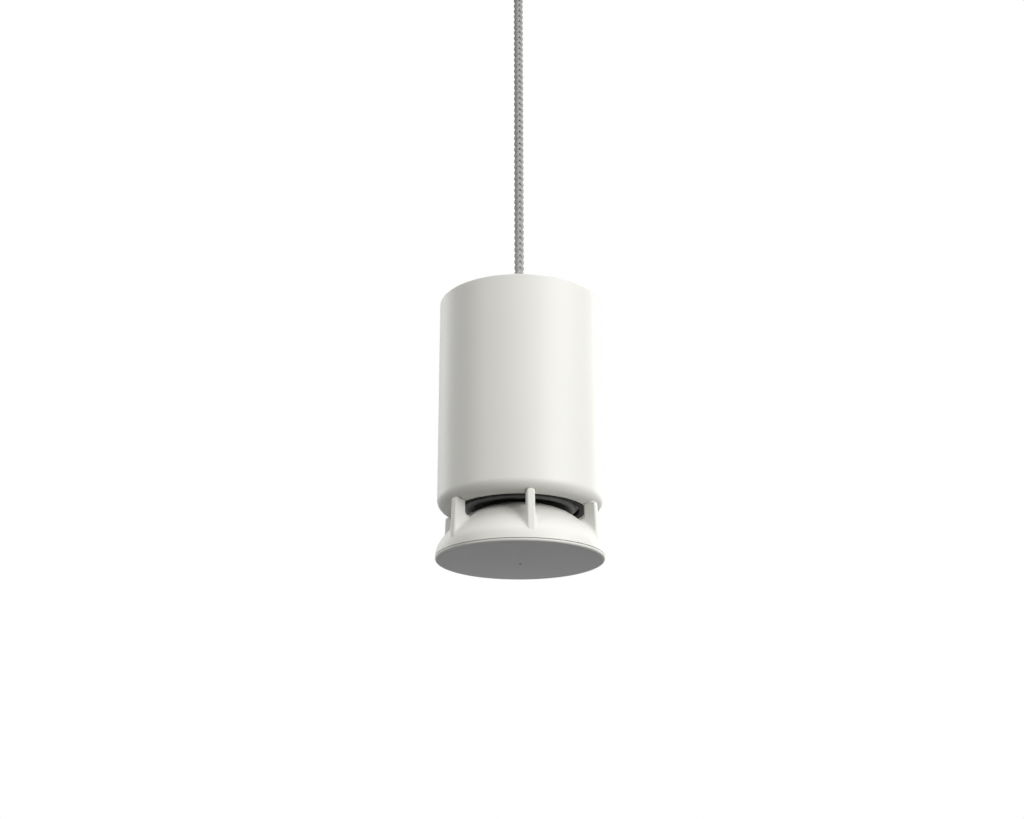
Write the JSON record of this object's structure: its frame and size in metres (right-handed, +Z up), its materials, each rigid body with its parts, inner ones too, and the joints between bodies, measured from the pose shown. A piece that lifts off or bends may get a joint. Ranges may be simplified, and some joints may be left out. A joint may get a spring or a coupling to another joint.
{
  "type": "pendant speaker",
  "caption": "Ceiling-hung round loudspeaker on a braided cord; its driver faces down at a domed reflector that fins hold under the housing's lip.",
  "frame": {"origin": "centre of the ceiling bracket's upper face, in the plane of the ceiling", "axes": "+Z up, out of the ceiling; the speaker hangs along -Z; one fin of the reflector stands on -Y, towards the viewer; +X to the viewer's right along the ceiling bracket"},
  "size_m": [0.1114, 0.1114, 0.5053],
  "materials": {
    "canopy_white": "satin powder coat",
    "zinc": "zinc-plated sheet",
    "screw_steel": "bright nickel",
    "fitting_white": "satin nylon",
    "nut_steel": "zinc-plated",
    "block_nylon": "clear-white nylon",
    "terminal_brass": "plain",
    "wire_cover": "PVC",
    "cord_textile": "tight grey braid",
    "ferrule_metal": "crimped",
    "cap_white": "fine satin",
    "housing_white": "fine satin, warm white",
    "reflector_white": "fine satin, warm white",
    "cover_white": "fine satin, warm white",
    "face_grey": "very fine grain, neutral grey",
    "seal_rubber": "foam strip",
    "core_steel": "varnished laminations",
    "winding_tape": "polyester tape",
    "wad_fibre": "loose polyester fibre",
    "basket_black": "black coat",
    "trim_black": "matt black",
    "driver_screw_black": "black zinc",
    "plate_steel": "zinc-plated",
    "magnet_ferrite": "sintered ferrite",
    "spider_cloth": "resin-dipped cloth",
    "former_film": "amber film",
    "coil_copper": "enamelled copper wire",
    "cone_paper": "dark pressed paper",
    "cap_cloth": "dark treated cloth",
    "surround_rubber": "butyl rubber",
    "strip_board": "phenolic board",
    "tinsel_wire": "braided"
  },
  "bodies": {
    "speaker": {"ceiling_bracket": "zinc", "ceiling_canopy": "canopy_white", "canopy_screws": "screw_steel", "canopy_cord_grip": "fitting_white", "canopy_nut": "nut_steel", "ceiling_block": "block_nylon", "ceiling_block_screws": "terminal_brass", "ceiling_conductors": "wire_cover", "braided_cord": "cord_textile", "housing_gland": "fitting_white", "gland_nut": "nut_steel", "cord_ferrule": "ferrule_metal", "top_cap": "cap_white", "cap_seal": "seal_rubber", "cap_screws": "screw_steel", "transformer_core": "core_steel", "transformer_winding": "winding_tape", "transformer_strap": "zinc", "transformer_screws": "screw_steel", "inner_block": "block_nylon", "inner_block_screws": "terminal_brass", "inner_conductors": "wire_cover", "driver_leads": "wire_cover", "damping_wad": "wad_fibre", "housing": "housing_white", "driver_basket": "basket_black", "driver_gasket": "seal_rubber", "front_trim_ring": "trim_black", "driver_screws": "driver_screw_black", "top_plate": "plate_steel", "magnet_ring": "magnet_ferrite", "pole_plate": "plate_steel", "spider": "spider_cloth", "surround": "surround_rubber", "terminal_strip": "strip_board", "terminal_tags": "terminal_brass", "tinsel_leads": "tinsel_wire", "reflector": "reflector_white", "reflector_screws": "screw_steel", "bottom_cover": "cover_white", "cover_screw": "screw_steel", "face_disc": "face_grey"},
    "diaphragm": {"cone": "cone_paper", "dust_cap": "cap_cloth", "voice_coil_former": "former_film", "voice_coil": "coil_copper"}
  },
  "joints": [
    {"name": "diaphragm_stroke", "type": "slide", "parent": "speaker", "child": "diaphragm", "axis": [0, 0, -1], "range_m": [-0.003, 0.003], "stiffness_N_per_m": 1000, "deforming": ["surround", "spider", "tinsel_leads"]}
  ]
}
